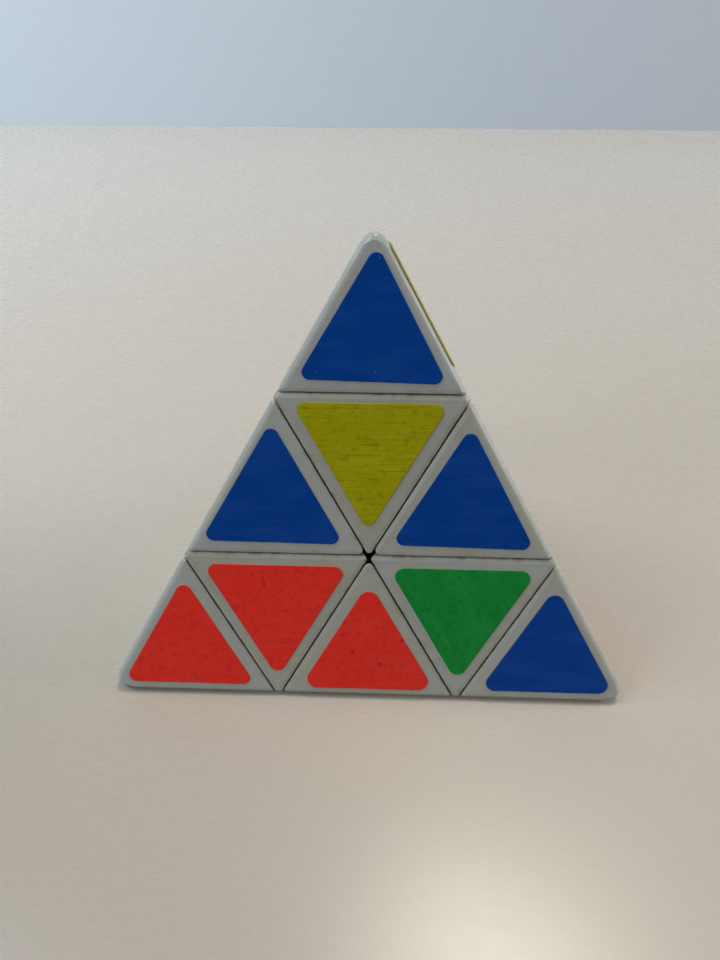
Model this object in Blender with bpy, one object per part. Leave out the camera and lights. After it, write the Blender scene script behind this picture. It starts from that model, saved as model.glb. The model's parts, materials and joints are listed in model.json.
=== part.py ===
"""Tetrahedral twisty puzzle: four tips, four axial pieces and six edge pieces on a four-armed core.

Millimetres are used while shaping, metres in the finished meshes. The origin is the centre of the
core, where the four turning axes cross, and +Z points to the top vertex.
"""

import itertools
import math

import bmesh
import bpy
from mathutils import Matrix, Vector

MM = 0.001

# Whole puzzle
EDGE = 98.0
INRADIUS = EDGE / (2.0 * math.sqrt(6.0))
APEX = 3.0 * INRADIUS
LAYER_PLANE = INRADIUS / 3.0
TIP_PLANE = INRADIUS * 5.0 / 3.0
SEAM = 0.1
OUTER_ROUND = 1.2
NOSE_ROUND = 1.75
NOSE_RINGS = ((22.0, 6), (42.0, 9))
SEAM_ROUND = 0.45
CORNER_ROUND = 1.0
WALL = 2.2

# Ball joint inside: feet of the edge pieces turn under the shells of the axial pieces
FOOT_BALL = 15.9
NECK_BALL = 16.2
SHELL_BALL = 16.5
CORE_BALL = 7.2
FOOT_INNER_BALL = 8.0
FOOT_PLANE = 1.0
FOOT_SEAM = 0.3
NECK_SEAM = 0.5

# Core, screws and springs
BOSS_RADIUS = 3.2
BOSS_TOP = 8.0
SCREW_HOLE = 1.35
SCREW_HOLE_FLOOR = 2.6
SHANK_RADIUS = 1.2
SHANK_TIP = 3.2
HEAD_RADIUS = 3.3
HEAD_BASE = 20.2
HEAD_TOP = 22.4
RECESS_LENGTH = 3.4
RECESS_WIDTH = 0.7
RECESS_DEPTH = 1.3
SPRING_RADIUS = 2.55
SPRING_WIRE = 0.35
SPRING_TURNS = 4
SPRING_STEPS = 12
SPRING_BASE = 15.5
SPRING_TOP = 19.75

# Column of an axial piece, and the peg of a tip that snaps into it
STEM_FOOT = 8.3
STEM_FOOT_RADIUS = 3.4
COLUMN_BASE = 15.5
COLUMN_RADIUS = 6.0
SHANK_BORE = 1.6
POCKET_FLOOR = 15.0
POCKET_RADIUS = 3.9
GROOVE_BASE = 25.5
GROOVE_TOP = 29.3
GROOVE_RADIUS = 4.9
THROAT_RADIUS = 4.3
PEG_END = 26.4
PEG_RADIUS = 3.9
BEAD_RADIUS = 4.6
BEAD_BASE = 27.4
BEAD_TOP = 28.6
PEG_BORE = 2.3
PEG_BORE_TOP = 43.0
PEG_ROOT = 47.5
HOLLOW_CEILING = 46.5

# Stickers: the side is that of the triangle before its corners are rounded
STICKER_SIDE = {"tip": 24.5, "edge": 24.8, "axial": 25.9}
STICKER_CORNER = 1.5
STICKER_GAP = 0.02
STICKER_THICK = 0.16
STICKER_POINTS = 12

BALL_SEGMENTS = 28
LATHE_STEPS = 20
SMALL_LATHE_STEPS = 14
SHARP_ANGLE = math.radians(38.0)

AXES = {
    "top": Vector((0.0, 0.0, 1.0)),
    "left": Vector((-math.sqrt(6.0), -math.sqrt(2.0), -1.0)) / 3.0,
    "right": Vector((math.sqrt(6.0), -math.sqrt(2.0), -1.0)) / 3.0,
    "back": Vector((0.0, 2.0 * math.sqrt(2.0), -1.0)) / 3.0,
}
CORNERS = tuple(AXES)
# Each face is opposite one corner.
FACES = {"front": "back", "right_side": "left", "left_side": "right", "base": "top"}

# Colours of the scrambled puzzle: three tips, three axial pieces and three edge pieces on each face
LAYOUT = {
    "front": {
        "tip": {"top": "blue", "left": "red", "right": "blue"},
        "axial": {"top": "yellow", "left": "red", "right": "green"},
        "edge": {"top_left": "blue", "top_right": "blue", "left_right": "red"},
    },
    "right_side": {
        "tip": {"top": "yellow", "right": "red", "back": "blue"},
        "axial": {"top": "green", "right": "blue", "back": "blue"},
        "edge": {"top_right": "yellow", "top_back": "green", "right_back": "red"},
    },
    "left_side": {
        "tip": {"top": "green", "left": "green", "back": "yellow"},
        "axial": {"top": "blue", "left": "green", "back": "yellow"},
        "edge": {"top_left": "red", "top_back": "blue", "left_back": "green"},
    },
    "base": {
        "tip": {"left": "yellow", "right": "green", "back": "red"},
        "axial": {"left": "yellow", "right": "red", "back": "red"},
        "edge": {"left_right": "yellow", "left_back": "yellow", "right_back": "green"},
    },
}
COLOURS = {
    "blue": (0.003, 0.032, 0.168),
    "red": (0.480, 0.022, 0.016),
    "green": (0.010, 0.133, 0.024),
    "yellow": (0.184, 0.170, 0.004),
    "white_plastic": (0.60, 0.60, 0.57),
    "grey_plastic": (0.08, 0.08, 0.09),
    "steel": (0.42, 0.42, 0.43),
}
# Slips of hand-placed stickers: (across, towards the first corner, turn in degrees)
SLIPS = {
    ("front", "axial", "top"): (0.2, -0.6, 0.0),
    ("front", "edge", "top_left"): (-0.3, 0.0, 0.5),
    ("front", "edge", "top_right"): (-0.2, -0.2, 0.9),
    ("front", "edge", "left_right"): (0.1, -0.2, 0.0),
    ("front", "tip", "top"): (0.1, -0.3, 1.2),
    ("right_side", "tip", "top"): (-1.45, 0.9, 0.0),
}


def clear_scene():
    for obj in list(bpy.data.objects):
        bpy.data.objects.remove(obj, do_unlink=True)


def new_collection(name):
    found = bpy.data.collections.new(name)
    bpy.context.scene.collection.children.link(found)
    return found


def material(name):
    found = bpy.data.materials.new(name)
    found.use_nodes = True
    shader = found.node_tree.nodes["Principled BSDF"]
    shader.inputs["Base Color"].default_value = (*COLOURS[name], 1.0)
    shader.inputs["Roughness"].default_value = 0.35
    shader.inputs["Metallic"].default_value = 1.0 if name == "steel" else 0.0
    return found


def mesh_from(bm, name):
    """A mesh in metres from a bmesh in millimetres."""
    bmesh.ops.recalc_face_normals(bm, faces=bm.faces)
    bmesh.ops.scale(bm, vec=Vector((MM, MM, MM)), verts=bm.verts)
    mesh = bpy.data.meshes.new(name)
    bm.to_mesh(mesh)
    bm.free()
    return mesh


def helper(mesh, name):
    """A cutter or blank: shown as wire, never rendered."""
    obj = bpy.data.objects.new(name, mesh)
    obj.hide_render = True
    obj.display_type = "WIRE"
    cutters.objects.link(obj)
    return obj


def combined(mesh, operation, *others):
    """The mesh after one exact boolean with each of the others in turn."""
    blank = helper(mesh, "blank")
    tools = []
    for other in others:
        tool = helper(other, "tool")
        tools.append(tool)
        modifier = blank.modifiers.new("shape", "BOOLEAN")
        modifier.operation = operation
        modifier.solver = "EXACT"
        modifier.object = tool
    graph = bpy.context.evaluated_depsgraph_get()
    result = bpy.data.meshes.new_from_object(blank.evaluated_get(graph))
    for obj in (blank, *tools):
        bpy.data.objects.remove(obj, do_unlink=True)
    return result


def rounding_directions():
    """Directions of a sphere that hold all eight face and seam normals of the puzzle."""
    first = AXES["top"]
    across = [
        (AXES["top"] + AXES["left"]).normalized(),
        (AXES["top"] + AXES["right"]).normalized(),
        (AXES["top"] + AXES["back"]).normalized(),
    ]
    grid = []
    for signs in itertools.product((-1.0, 0.0, 1.0), repeat=3):
        if any(signs):
            grid.append(signs)
    for axis, sign in itertools.product(range(3), (-1.0, 1.0)):
        for a, b in itertools.product((-0.5, 0.5), repeat=2):
            half = [a, b]
            half.insert(axis, sign)
            grid.append(tuple(half))
    found = []
    for x, y, z in grid:
        found.append((across[0] * x + across[1] * y + across[2] * z).normalized())
    # The top axis is one corner of this cube of directions.
    assert any((direction - first).length < 1e-6 for direction in found)
    return found


def hull(points):
    """The convex hull of points as a bmesh, with flat regions kept as single faces."""
    bm = bmesh.new()
    seen = set()
    for point in points:
        key = (round(point.x, 4), round(point.y, 4), round(point.z, 4))
        if key not in seen:
            seen.add(key)
            bm.verts.new(point)
    result = bmesh.ops.convex_hull(bm, input=bm.verts)
    spare = set(result["geom_interior"]) | set(result["geom_unused"])
    loose = [item for item in spare if isinstance(item, bmesh.types.BMVert)]
    bmesh.ops.delete(bm, geom=loose, context="VERTS")
    bmesh.ops.dissolve_limit(bm, angle_limit=math.radians(0.4), verts=bm.verts, edges=bm.edges)
    return bm


def cut_convex(points, planes):
    """The points of a convex body after planes (normal, distance) have cut it."""
    for normal, distance in planes:
        bm = hull(points)
        geometry = [*bm.verts, *bm.edges, *bm.faces]
        bmesh.ops.bisect_plane(
            bm, geom=geometry, plane_co=normal * distance, plane_no=normal, clear_outer=True
        )
        points = [vertex.co.copy() for vertex in bm.verts]
        bm.free()
    return points


def rounded_piece(planes):
    """The whole tetrahedron cut by planes, its outer edges and its seam edges rounded."""
    inner_apex = 3.0 * (INRADIUS - OUTER_ROUND)
    points = []
    for axis, direction in itertools.product(AXES.values(), DIRECTIONS):
        points.append(axis * inner_apex + direction * (OUTER_ROUND - SEAM_ROUND))
    inner_planes = [(normal, distance - SEAM_ROUND) for normal, distance in planes]
    core_points = cut_convex(points, inner_planes)
    grown = []
    for point, direction in itertools.product(core_points, DIRECTIONS):
        grown.append(point + direction * SEAM_ROUND)
    return hull(grown)


def block(planes):
    """A sharp convex body inside planes."""
    reach = 4.0 * APEX
    points = [Vector(corner) for corner in itertools.product((-reach, reach), repeat=3)]
    return hull(cut_convex(points, planes))


def ball(radius):
    bm = bmesh.new()
    bmesh.ops.create_uvsphere(
        bm, u_segments=BALL_SEGMENTS, v_segments=BALL_SEGMENTS // 2, radius=radius
    )
    return bm


def lathe(profile, steps):
    """A solid turned about Z from (radius, height) points."""
    bm = bmesh.new()
    verts = [bm.verts.new((radius, 0.0, height)) for radius, height in profile]
    edges = [bm.edges.new(pair) for pair in itertools.pairwise(verts)]
    bmesh.ops.spin(
        bm,
        geom=[*verts, *edges],
        cent=(0.0, 0.0, 0.0),
        axis=(0.0, 0.0, 1.0),
        angle=math.tau,
        steps=steps,
        use_merge=True,
    )
    bmesh.ops.remove_doubles(bm, verts=bm.verts, dist=1e-3)
    return bm


def edge_bevel_planes(first, second):
    """Planes that round the edge where two seam planes (normal, distance) meet."""
    (n1, d1), (n2, d2) = first, second
    dot = n1.dot(n2)
    a, b = d1 - CORNER_ROUND, d2 - CORNER_ROUND
    centre = (n1 * (a - dot * b) + n2 * (b - dot * a)) / (1.0 - dot * dot)
    planes = []
    for share in (0.25, 0.5, 0.75):
        normal = n1.slerp(n2, share)
        planes.append((normal, normal.dot(centre) + CORNER_ROUND))
    return planes


def nose_planes(axis):
    """Planes that round the vertex of a tip, touching a ball inside it."""
    centre = axis * 3.0 * (INRADIUS - NOSE_ROUND)
    across = axis.orthogonal().normalized()
    planes = [(axis, axis.dot(centre) + NOSE_ROUND)]
    for slope, count in NOSE_RINGS:
        leaning = Matrix.Rotation(math.radians(slope), 3, across) @ axis
        for index in range(count):
            normal = Matrix.Rotation(math.tau * index / count, 3, axis) @ leaning
            planes.append((normal, normal.dot(centre) + NOSE_ROUND))
    return planes


def frame_of(first, second):
    """A rotation frame fixed to an ordered pair of corners."""
    x = (AXES[first] + AXES[second]).normalized()
    y = (AXES[first] - AXES[second]).normalized()
    return Matrix((x, y, x.cross(y))).transposed()


def turned_to(first, second):
    """The rotation that takes the corner pair (top, left) to another pair."""
    return (frame_of(first, second) @ frame_of("top", "left").transposed()).to_4x4()


def axial_mesh():
    """Octahedral shell with a column for the screw, the spring and the peg of the tip."""
    top = AXES["top"]
    sides = [axis for name, axis in AXES.items() if name != "top"]
    planes = [(top, TIP_PLANE - SEAM), (-top, -(LAYER_PLANE + SEAM))]
    planes += [(axis, LAYER_PLANE - SEAM) for axis in sides]
    outside = mesh_from(rounded_piece(planes), "axial_outside")

    hollow_planes = [(top, TIP_PLANE - SEAM - WALL), (-top, -(LAYER_PLANE + WALL))]
    for axis in sides:
        hollow_planes.append((axis, LAYER_PLANE - SEAM - WALL))
        hollow_planes.append((-axis, INRADIUS - WALL))
    hollow = mesh_from(block(hollow_planes), "axial_hollow")
    shell_ball = mesh_from(ball(SHELL_BALL), "shell_ball")
    column = mesh_from(
        lathe(
            (
                (0.0, STEM_FOOT),
                (STEM_FOOT_RADIUS, STEM_FOOT),
                (COLUMN_RADIUS, COLUMN_BASE),
                (COLUMN_RADIUS, TIP_PLANE + 3.0),
                (0.0, TIP_PLANE + 3.0),
            ),
            LATHE_STEPS,
        ),
        "column",
    )
    bore = mesh_from(
        lathe(
            (
                (0.0, LAYER_PLANE - 2.0),
                (SHANK_BORE, LAYER_PLANE - 2.0),
                (SHANK_BORE, POCKET_FLOOR),
                (POCKET_RADIUS, POCKET_FLOOR),
                (POCKET_RADIUS, GROOVE_BASE),
                (GROOVE_RADIUS, GROOVE_BASE + 1.0),
                (GROOVE_RADIUS, GROOVE_TOP - 0.5),
                (THROAT_RADIUS, GROOVE_TOP),
                (THROAT_RADIUS, TIP_PLANE + 4.0),
                (0.0, TIP_PLANE + 4.0),
            ),
            LATHE_STEPS,
        ),
        "bore",
    )
    cavity = combined(combined(hollow, "UNION", shell_ball), "DIFFERENCE", column)
    return combined(outside, "DIFFERENCE", cavity, bore)


def tip_mesh():
    """Small hollow tetrahedron with a hollow snap peg."""
    top = AXES["top"]
    sides = [axis for name, axis in AXES.items() if name != "top"]
    planes = [(-top, -(TIP_PLANE + SEAM)), *nose_planes(top)]
    outside = mesh_from(rounded_piece(planes), "tip_outside")
    hollow_planes = [(-axis, INRADIUS - WALL) for axis in sides]
    hollow_planes.append((-top, -(TIP_PLANE - 1.0)))
    hollow_planes.append((top, HOLLOW_CEILING))
    hollow = mesh_from(block(hollow_planes), "tip_hollow")
    peg = mesh_from(
        lathe(
            (
                (0.0, PEG_END),
                (PEG_RADIUS, PEG_END),
                (BEAD_RADIUS, BEAD_BASE),
                (BEAD_RADIUS, BEAD_TOP),
                (PEG_RADIUS, BEAD_TOP + 0.5),
                (PEG_RADIUS, PEG_ROOT),
                (0.0, PEG_ROOT),
            ),
            LATHE_STEPS,
        ),
        "peg",
    )
    bore = mesh_from(
        lathe(
            (
                (0.0, PEG_END - 2.0),
                (PEG_BORE, PEG_END - 2.0),
                (PEG_BORE, PEG_BORE_TOP),
                (0.0, PEG_BORE_TOP + 1.0),
            ),
            SMALL_LATHE_STEPS,
        ),
        "peg_bore",
    )
    return combined(combined(combined(outside, "DIFFERENCE", hollow), "UNION", peg), "DIFFERENCE", bore)


def edge_mesh():
    """Two-coloured piece: a small tetrahedron outside, a neck, and a foot inside the ball."""
    top, left = AXES["top"], AXES["left"]
    right, back = AXES["right"], AXES["back"]
    seams = [(-top, -(LAYER_PLANE + SEAM)), (-left, -(LAYER_PLANE + SEAM))]
    outside = mesh_from(rounded_piece(seams + edge_bevel_planes(*seams)), "edge_outside")
    reach = 2.0 * SHELL_BALL
    neck_way = mesh_from(
        block(
            [
                (right, FOOT_PLANE - NECK_SEAM),
                (back, FOOT_PLANE - NECK_SEAM),
                (-top, reach),
                (-left, reach),
            ]
        ),
        "neck_way",
    )
    neck_ball = mesh_from(ball(NECK_BALL), "neck_ball")
    clearing = combined(neck_ball, "DIFFERENCE", neck_way)
    outside = combined(outside, "DIFFERENCE", clearing)
    wedge = mesh_from(
        block(
            [
                (-top, -(FOOT_PLANE + FOOT_SEAM)),
                (-left, -(FOOT_PLANE + FOOT_SEAM)),
                (right, FOOT_PLANE - FOOT_SEAM),
                (back, FOOT_PLANE - FOOT_SEAM),
            ]
        ),
        "wedge",
    )
    foot_ball = mesh_from(ball(FOOT_BALL), "foot_ball")
    inner_ball = mesh_from(ball(FOOT_INNER_BALL), "inner_ball")
    foot = combined(combined(foot_ball, "INTERSECT", wedge), "DIFFERENCE", inner_ball)
    return combined(outside, "UNION", foot)


def core_mesh():
    """Ball with four bosses, each bored for its screw."""
    body = mesh_from(ball(CORE_BALL), "core_ball")
    bosses = []
    bores = []
    for name in CORNERS:
        second = CORNERS[(CORNERS.index(name) + 1) % len(CORNERS)]
        turn = turned_to(name, second)
        boss = mesh_from(
            lathe(
                ((0.0, 1.0), (BOSS_RADIUS, 1.0), (BOSS_RADIUS, BOSS_TOP), (0.0, BOSS_TOP)),
                SMALL_LATHE_STEPS,
            ),
            "boss",
        )
        bore = mesh_from(
            lathe(
                (
                    (0.0, SCREW_HOLE_FLOOR),
                    (SCREW_HOLE, SCREW_HOLE_FLOOR + 0.4),
                    (SCREW_HOLE, BOSS_TOP + 2.0),
                    (0.0, BOSS_TOP + 2.0),
                ),
                SMALL_LATHE_STEPS,
            ),
            "screw_hole",
        )
        boss.transform(turn)
        bore.transform(turn)
        bosses.append(boss)
        bores.append(bore)
    return combined(combined(body, "UNION", *bosses), "DIFFERENCE", *bores)


def screw_mesh():
    """Shouldered screw with a crossed recess; its washer is part of the head."""
    body = mesh_from(
        lathe(
            (
                (0.0, SHANK_TIP),
                (SHANK_RADIUS, SHANK_TIP + 1.0),
                (SHANK_RADIUS, HEAD_BASE),
                (HEAD_RADIUS, HEAD_BASE),
                (HEAD_RADIUS, HEAD_BASE + 0.6),
                (HEAD_RADIUS - 0.5, HEAD_BASE + 0.6),
                (HEAD_RADIUS - 0.9, HEAD_TOP - 0.4),
                (HEAD_RADIUS - 1.5, HEAD_TOP),
                (0.0, HEAD_TOP),
            ),
            SMALL_LATHE_STEPS,
        ),
        "screw",
    )
    slots = []
    for size in ((RECESS_LENGTH, RECESS_WIDTH), (RECESS_WIDTH, RECESS_LENGTH)):
        bm = bmesh.new()
        bmesh.ops.create_cube(bm, size=1.0)
        bmesh.ops.scale(bm, vec=Vector((*size, 2.0 * RECESS_DEPTH)), verts=bm.verts)
        bmesh.ops.translate(bm, vec=Vector((0.0, 0.0, HEAD_TOP)), verts=bm.verts)
        slots.append(mesh_from(bm, "slot"))
    return combined(body, "DIFFERENCE", *slots)


def spring_mesh():
    """Coil between the floor of the pocket and the washer."""
    curve = bpy.data.curves.new("spring", "CURVE")
    curve.dimensions = "3D"
    curve.bevel_depth = SPRING_WIRE * MM
    curve.bevel_resolution = 1
    curve.use_fill_caps = True
    steps = SPRING_TURNS * SPRING_STEPS
    spline = curve.splines.new("POLY")
    spline.points.add(steps)
    for index, point in enumerate(spline.points):
        share = index / steps
        angle = math.tau * SPRING_TURNS * share
        height = SPRING_BASE + (SPRING_TOP - SPRING_BASE) * share
        point.co = (
            SPRING_RADIUS * MM * math.cos(angle),
            SPRING_RADIUS * MM * math.sin(angle),
            height * MM,
            1.0,
        )
    obj = helper(curve, "coil")
    graph = bpy.context.evaluated_depsgraph_get()
    mesh = bpy.data.meshes.new_from_object(obj.evaluated_get(graph))
    bpy.data.objects.remove(obj, do_unlink=True)
    bm = bmesh.new()
    bm.from_mesh(mesh)
    bmesh.ops.remove_doubles(bm, verts=bm.verts, dist=1e-6)
    bmesh.ops.recalc_face_normals(bm, faces=bm.faces)
    bm.to_mesh(mesh)
    bm.free()
    return mesh


def sticker_mesh(kind):
    """Thin triangle with round corners: in the XY plane, first corner towards +Y."""
    reach = STICKER_SIDE[kind] / math.sqrt(3.0) - 2.0 * STICKER_CORNER
    points = []
    for corner in range(3):
        angle = math.radians(90.0 + 120.0 * corner)
        centre = Vector((math.cos(angle), math.sin(angle), 0.0)) * reach
        for index in range(STICKER_POINTS):
            around = math.tau * index / STICKER_POINTS
            rim = Vector((math.cos(around), math.sin(around), 0.0)) * STICKER_CORNER
            for height in (STICKER_GAP, STICKER_GAP + STICKER_THICK):
                points.append(centre + rim + Vector((0.0, 0.0, height)))
    return mesh_from(hull(points), "sticker_" + kind)


def sticker_placement(face, kind, place):
    """The matrix that puts a sticker at the middle of its small triangle on a face."""
    opposite = FACES[face]
    ring = [AXES[name] * APEX for name in CORNERS if name != opposite]
    middle = sum(ring, Vector()) / 3.0
    names = place.split("_")
    own = [AXES[name] * APEX for name in names]
    rest = [AXES[name] * APEX for name in CORNERS if name != opposite and name not in names]
    if kind == "tip":
        corners = [own[0], *((2.0 * own[0] + other) / 3.0 for other in rest)]
    elif kind == "axial":
        corners = [middle, *((2.0 * own[0] + other) / 3.0 for other in rest)]
    else:
        upper = (2.0 * own[0] + own[1]) / 3.0
        lower = (own[0] + 2.0 * own[1]) / 3.0
        corners = [upper, lower, middle] if names[0] == "top" else [middle, upper, lower]
    centre = sum(corners, Vector()) / 3.0
    normal = -AXES[opposite]
    up = (corners[0] - centre).normalized()
    across, towards, degrees = SLIPS.get((face, kind, place), (0.0, 0.0, 0.0))
    side = up.cross(normal)
    centre = centre + side * across + up * towards
    turn = Matrix((side, up, normal)).transposed().to_4x4()
    spin = Matrix.Rotation(math.radians(-degrees), 4, "Z")
    return Matrix.Translation(centre * MM) @ turn @ spin


def add_part(name, mesh, placement, shade):
    """One node: its own mesh and material, at its place."""
    own = mesh.copy()
    own.name = name
    own.materials.clear()
    own.materials.append(shade)
    own.shade_smooth()
    own.set_sharp_from_angle(angle=SHARP_ANGLE)
    obj = bpy.data.objects.new(name, own)
    obj.matrix_world = placement
    puzzle.objects.link(obj)
    return obj


clear_scene()
puzzle = new_collection("pyramid_puzzle")
cutters = new_collection("cutters")
DIRECTIONS = rounding_directions()
shades = {name: material(name) for name in COLOURS}

add_part("core_spider", core_mesh(), Matrix.Identity(4), shades["grey_plastic"])
blanks = {
    "axial": (axial_mesh(), "white_plastic"),
    "tip": (tip_mesh(), "white_plastic"),
    "screw": (screw_mesh(), "steel"),
    "spring": (spring_mesh(), "steel"),
}
for index, corner in enumerate(CORNERS):
    neighbour = CORNERS[(index + 1) % len(CORNERS)]
    for kind, (blank_mesh, shade_name) in blanks.items():
        add_part(f"{kind}_{corner}", blank_mesh, turned_to(corner, neighbour), shades[shade_name])
edge_blank = edge_mesh()
for first_corner, second_corner in itertools.combinations(CORNERS, 2):
    add_part(
        f"edge_{first_corner}_{second_corner}",
        edge_blank,
        turned_to(first_corner, second_corner),
        shades["white_plastic"],
    )
sticker_blanks = {kind: sticker_mesh(kind) for kind in STICKER_SIDE}
for face_name, kinds in LAYOUT.items():
    for kind, places in kinds.items():
        for place, colour in places.items():
            add_part(
                f"sticker_{face_name}_{kind}_{place}",
                sticker_blanks[kind],
                sticker_placement(face_name, kind, place),
                shades[colour],
            )
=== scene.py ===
"""Looks of a scrambled, well used pyramid puzzle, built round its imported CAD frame."""

import itertools
import json
import math

import bmesh
import bpy
import numpy as np
from mathutils import Matrix, Vector, noise


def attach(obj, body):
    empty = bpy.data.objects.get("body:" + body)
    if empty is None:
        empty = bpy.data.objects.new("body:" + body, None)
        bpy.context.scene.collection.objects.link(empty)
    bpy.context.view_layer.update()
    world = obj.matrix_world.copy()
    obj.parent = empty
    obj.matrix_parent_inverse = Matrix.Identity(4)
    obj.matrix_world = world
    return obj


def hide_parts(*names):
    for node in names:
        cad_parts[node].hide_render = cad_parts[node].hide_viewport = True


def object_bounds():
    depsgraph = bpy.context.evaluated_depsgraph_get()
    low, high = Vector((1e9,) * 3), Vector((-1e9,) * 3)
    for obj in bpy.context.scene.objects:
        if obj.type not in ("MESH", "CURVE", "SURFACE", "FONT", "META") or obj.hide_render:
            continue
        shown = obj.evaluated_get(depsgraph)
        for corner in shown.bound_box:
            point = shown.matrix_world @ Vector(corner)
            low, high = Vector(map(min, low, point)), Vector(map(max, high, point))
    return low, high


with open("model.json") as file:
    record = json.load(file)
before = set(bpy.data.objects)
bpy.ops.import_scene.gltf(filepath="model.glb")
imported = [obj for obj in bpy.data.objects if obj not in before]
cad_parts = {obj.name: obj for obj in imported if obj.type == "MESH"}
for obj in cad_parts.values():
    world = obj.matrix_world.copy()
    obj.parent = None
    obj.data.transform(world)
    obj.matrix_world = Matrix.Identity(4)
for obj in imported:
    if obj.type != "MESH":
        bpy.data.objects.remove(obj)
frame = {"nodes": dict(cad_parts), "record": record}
cad_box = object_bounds()

MM = 0.001
TO_MM = 1000.0

# ---------------------------------------------------------------- the puzzle's own measures (mm)
EDGE = 98.0
INRADIUS = EDGE / (2.0 * math.sqrt(6.0))
APEX = 3.0 * INRADIUS
LAYER_PLANE = INRADIUS / 3.0
TIP_PLANE = INRADIUS * 5.0 / 3.0
SEAM = 0.1
OUTER_ROUND = 1.2
NOSE_ROUND = 1.75
NOSE_RINGS = ((11.0, 6), (22.0, 12), (32.0, 12), (42.0, 18))
SEAM_ROUND = 0.28
# Shallow bevels that lead from the outer faces down to the seams
BEVEL = {"tip": 0.85, "axial": 0.6, "edge": 0.85}
BEVEL_SLOPE = math.radians(15.0)
CORNER_ROUND = 1.0
WALL = 2.2
NECK_BALL = 16.2
SHELL_BALL = 16.5
FOOT_BALL = 15.9
FOOT_INNER_BALL = 8.0
FOOT_PLANE = 1.0
FOOT_SEAM = 0.3
NECK_SEAM = 0.5
STEM_FOOT = 8.3
STEM_FOOT_RADIUS = 3.4
COLUMN_BASE = 15.5
COLUMN_RADIUS = 6.0
SHANK_BORE = 1.6
POCKET_FLOOR = 15.0
POCKET_RADIUS = 3.9
GROOVE_BASE = 25.5
GROOVE_TOP = 29.3
GROOVE_RADIUS = 4.9
THROAT_RADIUS = 4.3
PEG_END = 26.4
PEG_RADIUS = 3.9
BEAD_RADIUS = 4.6
BEAD_BASE = 27.4
BEAD_TOP = 28.6
PEG_BORE = 2.3
PEG_BORE_TOP = 43.0
PEG_ROOT = 47.5
HOLLOW_CEILING = 46.5
STICKER_SIDE = {"tip": 24.5, "edge": 24.8, "axial": 25.9}
STICKER_CORNER = 1.5
# Corners of the hand-cut front stickers that are rounder or sharper than the rest
STICKER_CORNERS = {
    ("front", "tip", "top"): 1.25,
    ("front", "axial", "top"): 1.3,
    ("front", "edge", "top_left"): 1.3,
    ("front", "edge", "top_right"): 1.35,
    ("front", "tip", "left"): 1.4,
    ("front", "edge", "left_right"): 1.85,
    ("front", "axial", "right"): 1.65,
    ("front", "tip", "right"): 1.7,
}
STICKER_GAP = 0.02
STICKER_THICK = 0.16

AXES = {
    "top": Vector((0.0, 0.0, 1.0)),
    "left": Vector((-math.sqrt(6.0), -math.sqrt(2.0), -1.0)) / 3.0,
    "right": Vector((math.sqrt(6.0), -math.sqrt(2.0), -1.0)) / 3.0,
    "back": Vector((0.0, 2.0 * math.sqrt(2.0), -1.0)) / 3.0,
}
CORNERS = tuple(AXES)
FACES = {"front": "back", "right_side": "left", "left_side": "right", "base": "top"}
LAYOUT = {
    "front": {
        "tip": {"top": "blue", "left": "red", "right": "blue"},
        "axial": {"top": "yellow", "left": "red", "right": "green"},
        "edge": {"top_left": "blue", "top_right": "blue", "left_right": "red"},
    },
    "right_side": {
        "tip": {"top": "yellow", "right": "red", "back": "blue"},
        "axial": {"top": "green", "right": "blue", "back": "blue"},
        "edge": {"top_right": "yellow", "top_back": "green", "right_back": "red"},
    },
    "left_side": {
        "tip": {"top": "green", "left": "green", "back": "yellow"},
        "axial": {"top": "blue", "left": "green", "back": "yellow"},
        "edge": {"top_left": "red", "top_back": "blue", "left_back": "green"},
    },
    "base": {
        "tip": {"left": "yellow", "right": "green", "back": "red"},
        "axial": {"left": "yellow", "right": "red", "back": "red"},
        "edge": {"left_right": "yellow", "left_back": "yellow", "right_back": "green"},
    },
}
# Slips of hand-placed stickers: (across, towards the first corner, turn in degrees)
SLIPS = {
    ("front", "axial", "top"): (0.2, -0.6, 0.0),
    ("front", "edge", "top_left"): (-0.3, 0.0, 0.5),
    ("front", "edge", "top_right"): (-0.2, -0.2, 0.9),
    ("front", "edge", "left_right"): (0.1, -0.2, 0.0),
    ("front", "tip", "top"): (0.1, -0.3, 1.2),
    ("right_side", "tip", "top"): (-1.45, 0.9, 0.0),
}

# Stickers whose brush marks run aslant, in degrees
GRAIN_TURNS = {("front", "axial", "right"): 118.0}

# ---------------------------------------------------------------- colours (linear)
PLASTIC = (0.476, 0.528, 0.550)
PLASTIC_AGED = (0.478, 0.488, 0.415)
GRIME = (0.150, 0.128, 0.070)
STICKER_COLOUR = {
    "blue": (0.0, 0.061, 0.370),
    "red": (1.0, 0.041, 0.028),
    "green": (0.008, 0.305, 0.050),
    "yellow": (0.450, 0.438, 0.003),
}
# How yellow the plastic has gone: by kind, and for single pieces
AGES = {
    "tip": 0.20,
    "axial": 0.62,
    "edge": 0.25,
    "top_right": 0.45,
    "right": 0.40,
    "left_right": 0.65,
}
# share of dark brush marks, share of mottling
STICKER_WEAR = {
    "blue": (0.10, 0.12),
    "red": (0.20, 0.50),
    "green": (0.30, 0.60),
    "yellow": (0.72, 0.62),
}


# ---------------------------------------------------------------- shapes
def mesh_from(bm, name):
    """A mesh in metres from a bmesh in millimetres."""
    bmesh.ops.recalc_face_normals(bm, faces=bm.faces)
    bmesh.ops.scale(bm, vec=Vector((MM, MM, MM)), verts=bm.verts)
    mesh = bpy.data.meshes.new(name)
    bm.to_mesh(mesh)
    bm.free()
    return mesh


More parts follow.
